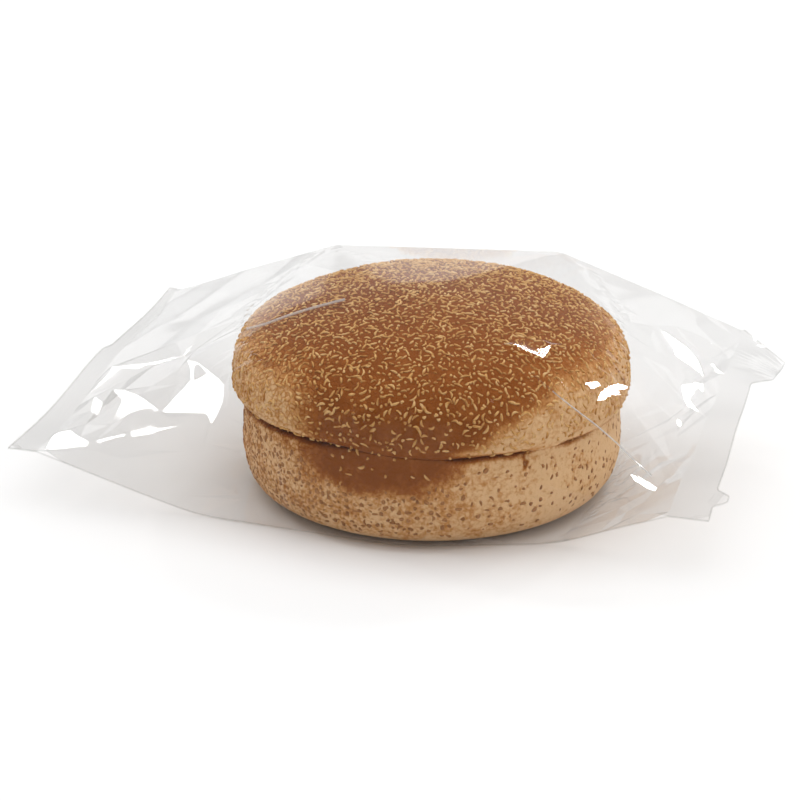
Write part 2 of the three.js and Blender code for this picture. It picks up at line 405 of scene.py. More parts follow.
def crown_mesh():
    """Rings of the crown, from the top down the crust and in over the cut, and how many are crust."""
    r, z = even_profile(*crown_profile(400), 130)
    r[0] = 0.4
    rings, angle = revolve(r, z, AROUND)
    relief = crust_relief(rings.reshape(-1, 3), **CROWN_RELIEF)
    rings = shaped(rings, r, z, angle, relief, smooth(r / 4))
    follow_cut(rings, smooth((CROWN_WIDEST_Z + 2 - z) / (CROWN_WIDEST_Z + 2 - CUT_Z)), angle, 1)
    face = cut_face(rings[-1], (0.99, 0.95, 0.9, 0.75, 0.55, 0.3, 0.02), 0.5)
    return np.concatenate([rings, face]), len(r)


def heel_mesh():
    """Rings of the heel, from the middle of the cut out and down the crust, and how many are in the cut."""
    r, z = even_profile(*heel_profile(200, HEEL_BASE_RADIUS, HEEL_ROUNDNESS), 100)
    rings, angle = revolve(r, z, AROUND)
    points = rings.reshape(-1, 3)
    relief = crust_relief(points, **HEEL_RELIEF) - CRACK["depth"] * crack(points)
    rings = shaped(rings, r, z, angle, relief, smooth((z - HEEL_BASE_Z) / 3))
    follow_cut(rings, smooth((z - HEEL_WIDEST_Z) / (CUT_Z - HEEL_WIDEST_Z)), angle, -1)
    top = cut_face(rings[0], (0.02, 0.3, 0.55, 0.75, 0.9, 0.95, 0.99), -0.4)
    base = cut_face(rings[-1], (0.9, 0.6, 0.3, 0.02), 0)
    return np.concatenate([top, rings, base]), len(top)


def crack(points):
    """The short crack below the cut, 0 to 1 at its middle."""
    aside = np.radians(from_front(angle_of(points)) - CRACK["angle"]) * HEEL_RADIUS
    drop = (CUT_Z - points[:, 2]) / CRACK["length"]
    bend = 0.4 * np.sin(drop * 5)
    return np.clip(1 - np.abs(aside - bend) / 0.7, 0, 1) * smooth((1 - drop) * 3) * (points[:, 2] < CUT_Z + 1)


def browning_and_front_shade(points):
    """How dark the crust is, 0 to 1: most at the front middle, which is partly painted shade, and on top, least
    at the sides.
    """
    side = np.radians(from_front(angle_of(points)))
    radius = np.hypot(points[:, 0], points[:, 1])
    drift = 3.2 * layered_noise(points, 14, 2, 6)
    across = radius * np.sin(side) + drift
    middle = np.interp(points[:, 2], (18, 27, 39), (-13, -11, -2))
    reach = np.interp(points[:, 2], (18, 27, 39), (23, 28, 38))
    # The front patch is partly browned crust and partly painted shade.
    front = smooth((reach - np.abs(across - middle)) / 17) * smooth(0.5 + np.cos(side) * 0.8)
    front *= smooth((points[:, 2] - 13 + drift * 0.6) / 7)
    top = smooth((points[:, 2] - 34) / 14) * smooth((62 - np.abs(across)) / 26)
    back = 0.55 * smooth(-np.cos(side)) * smooth((points[:, 2] - 14) / 12)
    return np.clip(0.1 + 0.9 * np.maximum.reduce([front, top, back]), 0, 1)


def seam_painted_light(points):
    """Painted shade in the groove along the open seam, partly brown crust too, and a painted highlight on the
    lip.
    """
    angle = angle_of(points)
    above = points[:, 2] - around_bun(CUT_HEIGHTS, angle)
    groove_shade = smooth((1.5 - np.abs(above)) / 0.9)
    lip_highlight = smooth(1 - np.abs(above - 2.2) / 1.1)
    return (0.45 * groove_shade - 0.25 * lip_highlight) * smooth(around_bun(SEAM_GAPS, angle) / 0.4)


def build_half(name, rings, material, inside, shade):
    """One half of the bun. `inside` marks the faces of crumb."""
    points = rings.reshape(-1, 3)
    piece = mesh_object(name, points, [face[::-1] for face in closed_tube(len(rings), AROUND)])
    piece.data.materials.append(material)
    piece.data.materials.append(made["crumb"])
    piece.data.polygons.foreach_set("material_index", inside)
    # The stored value is browning with the painted shade and painted light of `shade` added.
    point_attribute(piece, "browning_and_front_shade", np.clip(browning_and_front_shade(points) + shade, 0, 1.2))
    point_attribute(piece, "furrows", furrowed(points))
    return piece


def build_crown():
    rings, crust_rows = crown_mesh()
    inside = np.zeros((len(rings) - 1) * AROUND + 2, int)
    inside[(crust_rows + 1) * AROUND:-2] = 1
    inside[-1] = 1
    points = rings.reshape(-1, 3)
    shade = seam_painted_light(points)
    shade[crust_rows * AROUND:] = 1
    return build_half("crown", rings, crust_material("crown_crust", 0.8), inside, shade), rings[:crust_rows]


def build_heel():
    rings, face_rows = heel_mesh()
    inside = np.zeros((len(rings) - 1) * AROUND + 2, int)
    inside[:(face_rows - 2) * AROUND] = 1
    inside[-2] = 1
    points = rings.reshape(-1, 3)
    pale_rim = smooth((3.4 - points[:, 2]) / 2.4)
    # Painted shade in the crack, a paler rim by the table, and the heel's painted light and shade round the
    # bun.
    shade = CRACK["shade"] * crack(points) - 0.4 * pale_rim
    shade += around_bun(HEEL_TONE_AND_PAINTED_LIGHT, angle_of(points)) + seam_painted_light(points)
    shade[:face_rows * AROUND] = 1
    return build_half("heel", rings, crust_material("heel_crust", 1.1), inside, shade), rings[face_rows:]


# ---- flakes

def surface_of(rings):
    """Places, normals and cell areas of a stack of rings."""
    du = (np.roll(rings, -1, 1) - np.roll(rings, 1, 1)) / 2
    dv = np.gradient(rings, axis=0)
    normals = np.cross(dv, du)
    area = np.linalg.norm(normals, axis=-1)
    normals /= area[..., None] + 1e-9
    return rings.reshape(-1, 3), normals.reshape(-1, 3), area.ravel()


def scattered(rings, density, random, gap, most):
    """Places on a surface, more of them where `density` is high and none nearer than `gap`, with normals."""
    places, normals, area = surface_of(rings)
    weight = area * density(places)
    picked = random.choice(len(places), size=most * 4, p=weight / weight.sum())
    jitter = random.uniform(-0.3, 0.3, (most * 4, 3))
    kept = spaced(places[picked] + jitter, gap, most)
    return places[picked[kept]], normals[picked[kept]]


def flake_mesh(centres, normals, length, width, thickness, random):
    """Bent grains lying on a surface, as one mesh: five sections of four points each, closed at both ends."""
    sections = np.array([(-0.5, 0.45), (-0.3, 0.95), (0.0, 1.05), (0.3, 0.9), (0.5, 0.4)])
    vertices = []
    faces = []
    for centre, normal, long, wide in zip(centres, normals, length, width):
        normal = Vector(normal).normalized()
        side = normal.orthogonal().normalized()
        heading = random.uniform(0, 2 * math.pi)
        ahead = side * math.cos(heading) + normal.cross(side) * math.sin(heading)
        aside = normal.cross(ahead)
        bend = random.uniform(-1.1, 1.1)
        middle = Vector(centre)
        start = len(vertices)
        for along, girth in sections:
            half = wide / 2 * girth * random.uniform(0.8, 1.2)
            way = middle + ahead * (along * long) + aside * (bend * (along * along - 0.1) * long)
            vertices += [way - aside * half, way + normal * thickness * girth * random.uniform(0.7, 1.1),
                         way + aside * half, way - normal * 0.15]
        faces.append((start, start + 1, start + 2, start + 3))
        for low in range(start, start + 16, 4):
            for k in range(4):
                n = (k + 1) % 4
                faces.append((low + n, low + k, low + 4 + k, low + 4 + n))
        faces.append((start + 19, start + 18, start + 17, start + 16))
    return [tuple(v) for v in vertices], faces


def build_flakes(crown_rings, heel_rings):
    """Pale grain flakes: thick on the dome, sparse at the crown's edge, a few where the heel is drawn darkest.
    """
    random = np.random.default_rng(11)

    def density(points):
        side = np.abs(from_front(angle_of(points)))
        low = 0.27 * smooth((points[:, 2] - 25) / 4) + 0.06 * smooth((70 - side) / 60)
        return low + 0.75 * smooth((points[:, 2] - 33) / 13)

    def heel_density(points):
        return smooth(browning_and_front_shade(points) * 2 - 1) * (points[:, 2] > 16) + 1e-6

    on_crown = scattered(crown_rings, density, random, **CROWN_FLAKES)
    on_heel = scattered(heel_rings, heel_density, random, **HEEL_FLAKES)
    centres, normals = (np.concatenate(parts) for parts in zip(on_crown, on_heel))
    count = len(centres)
    dots = random.random(count) < 0.45
    length = np.where(dots, random.uniform(0.7, 1.1, count), random.uniform(1.3, 2.4, count))
    width = random.uniform(0.48, 0.8, count)
    piece = mesh_object("flakes", *flake_mesh(centres, normals, length, width, FLAKE_THICKNESS, random))
    piece.data.materials.append(flake_material())
    return piece


def build_specks(heel_rings):
    """Small dark specks in the heel's crust, most at the left and none where the crust is drawn dark itself."""
    random = np.random.default_rng(12)

    def density(points):
        side = from_front(angle_of(points))
        wanted = (0.08 + smooth((-side + 15) / 50)) * smooth(1.3 - 2 * browning_and_front_shade(points))
        return wanted * smooth((points[:, 2] - 3) / 4) * (points[:, 2] < CUT_Z - 1)

    centres, normals = scattered(heel_rings, density, random, **SPECKS)
    count = len(centres)
    length = random.uniform(0.6, 1.7, count)
    width = random.uniform(0.5, 1.2, count)
    piece = mesh_object("specks", *flake_mesh(centres, normals, length, width, SPECK_THICKNESS, random))
    piece.data.materials.append(speck_material())
    return piece


def spaced(points, gap, most):
    """Indices of up to `most` points, no two of them nearer than `gap`."""
    cells = {}
    kept = []
    for index, point in enumerate(points):
        cell = tuple(np.floor(point / gap).astype(int))
        near = (cells.get((cell[0] + i, cell[1] + j, cell[2] + k), ())
                for i in (-1, 0, 1) for j in (-1, 0, 1) for k in (-1, 0, 1))
        if any(((points[other] - point) ** 2).sum() < gap * gap for group in near for other in group):
            continue
        cells.setdefault(cell, []).append(index)
        kept.append(index)
        if len(kept) == most:
            break
    return np.array(kept)


# ---- the film

def taut_skin():
    """Planes of the tightest skin round the bun, the seals and the points where the film is held out."""
    r1, z1 = even_profile(*crown_profile(200), 24)
    r2, z2 = even_profile(*heel_profile(100, FILM_BASE_RADIUS, FILM_ROUNDNESS), 12)
    rings, _ = revolve(np.concatenate([r1, r2]) + FILM_GAP, np.concatenate([z1, z2]), 144)
    rings[..., 2] *= (BUN_HEIGHT + FILM_GAP) / BUN_HEIGHT
    rings[-1, :, 2] = 0
    rings[-1, :, :2] *= FILM_BASE_RADIUS / (FILM_BASE_RADIUS + FILM_GAP)
    points = rings.reshape(-1, 3).tolist() + list(HELD_OUT)
    for seal in (LEFT_SEAL, RIGHT_SEAL):
        points += [(seal["inner"], *seal["front"]), (seal["inner"], *seal["back"])]
    hull = bmesh.new()
    for point in points:
        hull.verts.new(point)
    bmesh.ops.convex_hull(hull, input=hull.verts)
    hull.normal_update()
    planes = np.array([(*face.normal, face.normal.dot(face.verts[0].co)) for face in hull.faces])
    edges = np.array([[tuple(v.co) for v in edge.verts] for edge in hull.edges if edge.link_faces])
    hull.free()
    return planes, edges


def section(edges, x):
    """Where the plane x cuts the edges of the skin."""
    a, b = edges[:, 0], edges[:, 1]
    crossing = ((a[:, 0] - x) * (b[:, 0] - x) <= 0) & (a[:, 0] != b[:, 0])
    a, b = a[crossing], b[crossing]
    return a + (b - a) * ((x - a[:, 0]) / (b[:, 0] - a[:, 0]))[:, None]


def skin_heights(planes, x, y):
    """Heights of the skin's underside and top above each (x, y)."""
    upper = planes[planes[:, 2] > 1e-6]
    lower = planes[planes[:, 2] < -1e-6]
    top = np.min((upper[:, 3] - np.outer(x, upper[:, 0]) - np.outer(y, upper[:, 1])) / upper[:, 2], axis=1)
    bottom = np.max((lower[:, 3] - np.outer(x, lower[:, 0]) - np.outer(y, lower[:, 1])) / lower[:, 2], axis=1)
    return np.maximum(bottom, 0), top


def seal_share(seal, y):
    """How far along a seal y lies, 0 at its front end to 1 at its back end."""
    front_y, back_y = seal["front"][0], seal["back"][0]
    return (y - front_y) / (back_y - front_y)


def seal_middle(seal, y):
    """Height of a seal at y, before it waves."""
    return lerp(seal["front"][1], seal["back"][1], seal_share(seal, y))


def cut_edge(seal, y):
    """How far out a seal is cut at y, with the notch at the left, and the ear and the tail at the right."""
    cut = lerp(*seal["cut"], seal_share(seal, y))
    if seal is RIGHT_SEAL:
        cut = cut + TAIL["reach"] * smooth(1.4 - np.abs(y - TAIL["middle"]) / TAIL["half"])
        return cut + EAR["reach"] * smooth((y - EAR["from"]) / (EAR["to"] - EAR["from"]))
    return cut + NOTCH["depth"] * smooth((y - NOTCH["from"]) / (NOTCH["to"] - NOTCH["from"]))


def wave_lift(x, y, z):
    """How far the seals' waves lift the film, less the ear's droop. It dies away towards bun and table."""
    lift = np.zeros(len(x))
    for seal, wave in ((LEFT_SEAL, LEFT_WAVE), (RIGHT_SEAL, RIGHT_WAVE)):
        near = smooth(1 - (np.abs(seal["inner"]) - x * np.sign(seal["inner"])) / wave["fade"])
        lift += wave["height"] * np.sin(2 * math.pi * y / wave["length"] + wave["phase"]) * near
    along = np.clip((y - EAR["from"]) / (RIGHT_SEAL["back"][0] - EAR["from"]), 0, 1)
    out = np.clip((x - RIGHT_SEAL["inner"]) / (cut_edge(RIGHT_SEAL, y) - RIGHT_SEAL["inner"]), 0, 1)
    return (lift - EAR["droop"] * along * out) * smooth(z / 6)


def sheet_heights(planes, x, y):
    """Heights of the lower and the upper film above each (x, y), before they crumple."""
    bottom, top = skin_heights(planes, x, y)
    radius = np.hypot(x, y)
    top = np.maximum(top, np.where(radius < CROWN_RADIUS, crown_height(radius) + FILM_GAP, 0))
    for seal in (LEFT_SEAL, RIGHT_SEAL):
        sealed = (x - seal["inner"]) * np.sign(seal["inner"]) >= 0
        middle = seal_middle(seal, y)
        bottom = np.where(sealed, middle - SEAL_THICKNESS / 2, bottom)
        top = np.where(sealed, middle + SEAL_THICKNESS / 2, top)
    return bottom + wave_lift(x, y, bottom), top + wave_lift(x, y, top)


def cut_loop(seal):
    """A seal's edge from the front end of its inner line, along the cut, to the back end."""
    y = np.linspace(seal["front"][0], seal["back"][0], 90)
    cut = np.stack([cut_edge(seal, y), y, seal_middle(seal, y)], -1)
    ends = [np.array([(lerp(seal["inner"], end[0], share), *end[1:]) for share in (0, 0.33, 0.67)])
            for end in (cut[0], cut[-1])]
    loop = np.concatenate([ends[0], cut, ends[1][::-1]])
    loop[:, 2] += wave_lift(*loop.T)
    return loop


def film_outline(edges):
    """The loop of points where the upper and the lower film meet: front, right cut, back, left cut."""
    sections = [section(edges, x) for x in np.linspace(LEFT_SEAL["inner"], RIGHT_SEAL["inner"], 110)[1:-1]]
    front = np.array([points[points[:, 1].argmin()] for points in sections])
    back = np.array([points[points[:, 1].argmax()] for points in sections])
    for side in (front, back):
        side[:, 2] += wave_lift(*side.T)
    return np.concatenate([front, cut_loop(RIGHT_SEAL), back[::-1], cut_loop(LEFT_SEAL)[::-1]])


def front_fold(edges, outline):
    """The crease where the film turns under in front: the pack's lower outline for the photographer."""
    lean = math.radians(CAMERA_ELEVATION)
    line = []
    for x in np.arange(LEFT_SEAL["inner"] + 4, RIGHT_SEAL["inner"] - 3, 2.5):
        points = section(edges, x)
        line.append(points[(points[:, 1] * math.sin(lean) + points[:, 2] * math.cos(lean)).argmin()])
    line = np.array(line)
    for _ in range(4):
        line[1:-1] = (line[:-2] + 2 * line[1:-1] + line[2:]) / 4
    line[:, 2] += wave_lift(*line.T)
    return line[clear_of([outline], line, CLEARANCE["outline_of_fold"])]


def within(polygon, places):
    """Which places lie inside a polygon, seen from above."""
    x, y = places[:, :2].T
    inside = np.zeros(len(x), bool)
    for (x0, y0), (x1, y1) in zip(polygon[:, :2], np.roll(polygon[:, :2], -1, 0)):
        if y0 != y1:
            crosses = (y0 > y) != (y1 > y)
            inside ^= crosses & (x < x0 + (y - y0) * (x1 - x0) / (y1 - y0))
    return inside


def clear_of(lines, places, gap):
    """Which places are farther than `gap` from every line of points, seen from above."""
    x, y = places[:, :2].T
    clear = np.ones(len(x), bool)
    for line in lines:
        for (x0, y0), (x1, y1) in zip(line[:, :2], line[1:, :2]):
            run = np.array([x1 - x0, y1 - y0])
            share = np.clip(((x - x0) * run[0] + (y - y0) * run[1]) / max(run @ run, 1e-9), 0, 1)
            clear &= np.hypot(x - x0 - share * run[0], y - y0 - share * run[1]) > gap
    return clear


def seen_at(planes, direction, lift):
    """The point where a line of sight meets the taut film, or `lift` above it."""
    eye = camera_frame()[0]
    reach = np.linalg.norm(eye)
    for _ in range(40):
        place = eye + direction * reach
        height = sheet_heights(planes, place[:1], place[1:2])[1][0] + lift
        reach += 0.5 * (place[2] - height) / -direction[2]
    return eye + direction * reach


def glint_facet(planes, lamp, lift, corners):
    """Corners of a flat facet that mirrors a lamp to the camera, from its corners in pixels."""
    eye = camera_frame()[0]
    sights = np.array([sight(corner) for corner in corners])
    centre = sights.mean(0)
    place = seen_at(planes, centre, lift)
    to_lamp = lamp_place(lamp) - place
    normal = to_lamp / np.linalg.norm(to_lamp) - centre / np.linalg.norm(centre)
    reaches = ((place - eye) @ normal) / (sights @ normal)
    return eye + sights * reaches[:, None]


def points_between(corners, step):
    """Points about `step` apart along a line through these corners."""
    corners = np.array(corners, float)
    length = np.concatenate([[0], np.cumsum(np.linalg.norm(np.diff(corners, axis=0), axis=1))])
    places = np.linspace(0, length[-1], int(length[-1] / step) + 2)
    return np.stack([np.interp(places, length, column) for column in corners.T], -1)


def crease_line(planes, pixels):
    """A line over the taut film, from pixels with or without a height over it."""
    corners = [seen_at(planes, sight(pixel[:2]), pixel[2] if len(pixel) > 2 else 0) for pixel in pixels]
    line = points_between(corners, 3)
    x, y, z = line.T
    film_z = sheet_heights(planes, x, y)[1]
    line[:, 2] = np.where(np.hypot(x, y) < CROWN_RADIUS, np.maximum(z, film_z), z)
    return line


def ridge_line(planes, corners):
    """A line on the taut film, from corners as (x, y)."""
    places = points_between(corners, 4)
    return np.column_stack([places, sheet_heights(planes, *places.T)[1]])


def slack_at(x, y, top):
    """How loose the upper film is, 0 where it lies on the bun to 1 where it spans from the bun to a seal."""
    radius = np.hypot(x, y)
    above = top - np.where(radius < CROWN_RADIUS, crown_height(radius), CROWN_WIDEST_Z) - FILM_GAP
    return smooth((radius - 42) / 10) * smooth(np.where(radius < CROWN_RADIUS + 1, above / 1.5, 1))


def loose_points(outline, random):
    """Places scattered over the film, farther apart along X, where creases meet by chance."""
    places = []
    for part, end in ((LOOSE, CRUMPLED["from"]), (CRUMPLED, RIGHT_SEAL["inner"])):
        step_x, step_y = part["spacing"] * 1.6, part["spacing"]
        x, y = np.meshgrid(np.arange(part["from"], end, step_x), np.arange(-60, 70, step_y), indexing="ij")
        x = (x + random.uniform(-0.42, 0.42, x.shape) * step_x).ravel()
        y = (y + random.uniform(-0.42, 0.42, y.shape) * step_y).ravel()
        places.append(np.stack([x, y], -1))
    places = np.concatenate(places)
    far = (np.hypot(*places.T) > CROWN_RADIUS - 1) & within(outline, places)
    return places[far & clear_of([outline], places, CLEARANCE["outline"])]


def crumple(places, bottom, top, random):
    """Random lifts of loose film, none where the two films are close."""
    height = np.where(places[:, 0] > CRUMPLED["from"], CRUMPLED["height"], LOOSE["height"])
    return random.uniform(-1, 1, len(places)) * height * smooth((top - bottom) / 7)


def round_points(outline):
    """Rings of places where the film lies on the bun."""
    places = []
    radii = np.append((CROWN_RADIUS - 1.5) * np.sin(np.linspace(0, math.pi / 2, 26)[1:]), CROWN_RADIUS + 0.1)
    for index, radius in enumerate(radii):
        angle = np.linspace(0, 2 * math.pi, max(6, int(radius * 2.4)), endpoint=False) + index * 0.3
        places.append(np.stack([radius * np.cos(angle), radius * np.sin(angle)], -1))
    places = np.concatenate(places)
    return places[within(outline, places) & clear_of([outline], places, CLEARANCE["outline_on_bun"])]


def seal_points():
    """Rows of places along both flat seals, and along the lines where they begin."""
    places = []
    for seal in (LEFT_SEAL, RIGHT_SEAL):
        y = np.linspace(seal["front"][0], seal["back"][0], 46)[1:-1]
        for share in (0, 0.5):
            places.append(np.stack([lerp(seal["inner"], cut_edge(seal, y), share), y], -1))
    return np.concatenate(places)


def film_places(outline, random):
    """Where either film has points apart from its lines."""
    return np.concatenate([round_points(outline), loose_points(outline, random), seal_points()])


def joined(outline, points, lines):
    """Triangles over the points of outline, film and lines, in that order, with the lines as edges."""
    count = len(outline)
    edges = [(k, (k + 1) % count) for k in range(count)]
    corners = [Vector(p[:2]) for p in outline] + [Vector(p[:2]) for p in points]
    for line in lines:
        start = len(corners)
        corners += [Vector(p[:2]) for p in line]
        edges += [(k, k + 1) for k in range(start, len(corners) - 1)]
    made_corners, _, triangles, source, _, _ = geometry.delaunay_2d_cdt(corners, edges, [], 1, 1e-5)
    if not all(source):
        crossing = [corner for corner, origin in zip(made_corners, source) if not origin]
        raise ValueError(f"creases cross at {crossing}")
    return [tuple(source[corner][0] for corner in triangle) for triangle in triangles]


def upper_film(planes, outline, creases, random):
    """Points of the upper film, facets that glint, and all the lines that its mesh follows."""
    facets = [glint_facet(planes, *glint) for glint in GLINTS]
    hollows = np.array([seen_at(planes, sight(hollow[:2]), hollow[2]) for hollow in HOLLOWS])
    ridges = [ridge_line(planes, corners) for corners in RIDGES]
    lines = [np.concatenate([facet, facet[:1]]) for facet in facets] + creases + ridges
    places = film_places(outline, random)
    free = clear_of(lines, places, CLEARANCE["creases"])
    free &= clear_of([hollow[None].repeat(2, 0) for hollow in hollows], places, CLEARANCE["hollows"])
    for facet in facets:
        free &= ~within(facet, places)
    places = places[free]
    bottom, top = sheet_heights(planes, *places.T)
    lift = crumple(places, bottom, top, random) * slack_at(*places.T, top)
    return np.concatenate([np.column_stack([places, top + lift]), hollows]), lines


def lower_film(planes, outline, fold, random):
    """Points of the lower film, clear of its front fold."""
    places = film_places(outline, random)
    places = places[clear_of([fold], places, CLEARANCE["fold"])]
    bottom, top = sheet_heights(planes, *places.T)
    lift = crumple(places, bottom, top, random) * smooth(bottom / 4)
    return np.column_stack([places, bottom + np.maximum(lift, -bottom * 0.5)])


def bead(path, radius, sides=6):
    """A thin round bead along a path, closed at both ends."""
    ahead = np.gradient(path, axis=0)
    ahead /= np.linalg.norm(ahead, axis=1, keepdims=True)
    aside = np.cross(ahead, (0, 0, 1))
    aside /= np.linalg.norm(aside, axis=1, keepdims=True)
    above = np.cross(aside, ahead)
    turn = np.arange(sides) * 2 * math.pi / sides
    round_path = aside[:, None] * np.cos(turn)[:, None] + above[:, None] * np.sin(turn)[:, None]
    ring = path[:, None] + radius * round_path
    return ring.reshape(-1, 3), closed_tube(len(path), sides)


def in_facets(faces, start, facets):
    """Indices of the faces that lie in one of the facets, whose points are numbered from `start`."""
    facet_of = {}
    for number, facet in enumerate(facets):
        facet_of.update({start + k: number for k in range(len(facet))})
        start += len(facet)
    owners = [{facet_of.get(k) for k in face} for face in faces]
    return [index for index, owner in enumerate(owners) if len(owner) == 1 and None not in owner]


def build_film():
    """Upper and lower film, joined along their outline, with beads where the film is cut or sharply bent."""
    random = np.random.default_rng(3)
    planes, edges = taut_skin()
    outline = film_outline(edges)
    fold = front_fold(edges, outline)
    creases = [crease_line(planes, pixels) for pixels, _ in CREASES]
    upper, lines = upper_film(planes, outline, creases, random)
    lower = lower_film(planes, outline, fold, random)
    faces = joined(outline, upper, lines)
    flat = in_facets(faces, len(outline) + len(upper), lines[:len(GLINTS)])
    upper = np.concatenate([upper, *lines])
    for triangle in joined(outline, lower, [fold]):
        faces.append(tuple(k if k < len(outline) else k + len(upper) for k in reversed(triangle)))
    vertices = [outline, upper, lower, fold]
    count = sum(len(part) for part in vertices)
    around = np.concatenate([cut_loop(LEFT_SEAL)[::-1], fold, cut_loop(RIGHT_SEAL)])
    beads = [(around, EDGE_BEAD)] + [(line, radius) for line, (_, radius) in zip(creases, CREASES)]
    # Material 1, on the crease beads, has a white haze that is a painted highlight.
    painted_highlight_slot = [0] * len(faces)
    for index, (path, radius) in enumerate(beads):
        ring, ring_faces = bead(path, radius)
        faces += [[k + count for k in face] for face in ring_faces]
        painted_highlight_slot += [int(index > 0)] * len(ring_faces)
        vertices.append(ring)
        count += len(ring)
    piece = mesh_object("film", np.concatenate(vertices), faces)
    piece.data.set_sharp_from_angle(angle=math.radians(FOLD_ANGLE))
    for index in flat:
        piece.data.polygons[index].use_smooth = False
    for name in HAZE:
        piece.data.materials.append(film_material(name))
    piece.data.polygons.foreach_set("material_index", painted_highlight_slot)
    return piece


# ---- materials

def new_material(name):
    """A new material and its node tree."""
    material = bpy.data.materials.new(name)
    material.use_nodes = True
    made[name] = material
    return material, material.node_tree


def feed(tree, socket, value):
    """Sets an input socket to a number, or links an output socket to it."""
    if isinstance(value, (int, float)):
        socket.default_value = value
    else:
        tree.links.new(value, socket)


def make_node(tree, kind, **values):
    """A new node whose inputs are fed. An input's name has an underscore for each space."""
    node = tree.nodes.new("ShaderNode" + kind)
    for name, value in values.items():
        feed(tree, node.inputs[name.replace("_", " ")], value)
    return node


def texture_node(tree, kind, **values):
    """A texture in the piece's own coordinates."""
    return make_node(tree, kind, Vector=make_node(tree, "TexCoord").outputs["Object"], **values)


def mesh_value(tree, name):
    """The value that each vertex of the mesh stores under this name."""
    attribute = tree.nodes.new("ShaderNodeAttribute")
    attribute.attribute_name = name
    return attribute.outputs["Fac"]


def math_node(tree, operation, *values):
    """The outcome of a Math node whose inputs are these sockets or numbers."""
    node = tree.nodes.new("ShaderNodeMath")
    node.operation = operation
    for socket, value in zip(node.inputs, values):
        feed(tree, socket, value)
    return node.outputs[0]


def colour_by(tree, tone, colours):
    """Colours the material by `tone`, through a ramp of (position, display colour)."""
    ramp = tree.nodes.new("ShaderNodeValToRGB")
    stops = ramp.color_ramp.elements
    while len(stops) < len(colours):
        stops.new(0.5)
    for stop, (position, colour) in zip(stops, colours):
        stop.position = position
        stop.color = srgb(*colour)
    tree.links.new(tone, ramp.inputs["Fac"])
    tree.links.new(ramp.outputs["Color"], tree.nodes["Principled BSDF"].inputs["Base Color"])


def crust_material(name, mottling):
    """Baked crust: blotchy browning and painted shade, furrows drawn darker as painted shade, and a fine grain.
    """
    material, tree = new_material(name)
    blotch = texture_node(tree, "TexNoise", Scale=170, Detail=5, Roughness=0.6).outputs["Fac"]
    grain = texture_node(tree, "TexNoise", Scale=900, Detail=3, Roughness=0.6).outputs["Fac"]
    cells = texture_node(tree, "TexVoronoi", Scale=620)
    cells.feature = "DISTANCE_TO_EDGE"
    net = make_node(tree, "MapRange", Value=cells.outputs["Distance"], From_Max=0.16, To_Min=1.0, To_Max=0.0)
    furrow_relief_and_shade = math_node(tree, "MULTIPLY", net.outputs[0], mesh_value(tree, "furrows"))
    tone = math_node(tree, "MULTIPLY_ADD", blotch, mottling, mesh_value(tree, "browning_and_front_shade"))
    tone = math_node(tree, "MULTIPLY_ADD", grain, mottling, tone)
    # Painted shade: the crust is drawn darker in its furrows.
    tone = math_node(tree, "MULTIPLY_ADD", furrow_relief_and_shade, 0.26, tone)
    colour_by(tree, math_node(tree, "SUBTRACT", tone, mottling + 0.06), CRUST_COLOURS)
    height = math_node(tree, "MULTIPLY_ADD", furrow_relief_and_shade, -0.8, grain)
    bump = make_node(tree, "Bump", Height=height, Strength=0.5, Distance=0.0004)
    shader = tree.nodes["Principled BSDF"]
    tree.links.new(bump.outputs["Normal"], shader.inputs["Normal"])
    shader.inputs["Roughness"].default_value = 0.6
    shader.inputs["Specular IOR Level"].default_value = 0.12
    return material


def crumb_material():
    """Pale open crumb, with painted shade in its pores."""
    material, tree = new_material("crumb")
    painted_pore_shade = texture_node(tree, "TexVoronoi", Scale=600)
    colour_by(tree, painted_pore_shade.outputs["Distance"], CRUMB_COLOURS)
    tree.nodes["Principled BSDF"].inputs["Roughness"].default_value = 0.9
    return material


def flake_material():
    """Toasted grain: pale tan, some flakes browner than others."""
    material, tree = new_material("flakes")
    colour_by(tree, texture_node(tree, "TexNoise", Scale=420, Detail=2).outputs["Fac"], FLAKE_COLOURS)
    shader = tree.nodes["Principled BSDF"]
    shader.inputs["Roughness"].default_value = 0.7
    shader.inputs["Specular IOR Level"].default_value = 0.15
    return material


def speck_material():
    """Dark brown specks, uneven."""
    material, tree = new_material("specks")
    colour_by(tree, texture_node(tree, "TexNoise", Scale=500, Detail=2).outputs["Fac"], SPECK_COLOURS)
    tree.nodes["Principled BSDF"].inputs["Roughness"].default_value = 0.8
    return material


def mixed(tree, share, first, second):
    """Two shaders mixed, with this share of the second."""
    mix = make_node(tree, "MixShader", Fac=share)
    tree.links.new(first.outputs[0], mix.inputs[1])
    tree.links.new(second.outputs[0], mix.inputs[2])
    return mix


def film_material(name):
    """Clear film: tinted see-through, some haze, and gloss that grows towards grazing angles."""
    material, tree = new_material(name)
    tree.nodes.remove(tree.nodes["Principled BSDF"])
    clear = tree.nodes.new("ShaderNodeBsdfTransparent")
    clear.inputs["Color"].default_value = FILM_TINT
    haze = tree.nodes.new("ShaderNodeBsdfDiffuse")
    haze.inputs["Color"].default_value = (0.9, 0.9, 0.9, 1)
    gloss = tree.nodes.new("ShaderNodeBsdfGlossy")
    gloss.inputs["Roughness"].default_value = GLOSS["roughness"]
    grazing = make_node(tree, "LayerWeight", Blend=0.5)
    steep = math_node(tree, "POWER", grazing.outputs["Facing"], GLOSS["lateness"])
    share = make_node(tree, "MapRange", Value=steep, To_Min=GLOSS["least"], To_Max=GLOSS["most"])
    # The crease beads' large haze is a painted highlight.
    film = mixed(tree, share.outputs[0], mixed(tree, HAZE[name], clear, haze), gloss)
    tree.links.new(film.outputs[0], tree.nodes["Material Output"].inputs["Surface"])
    return material


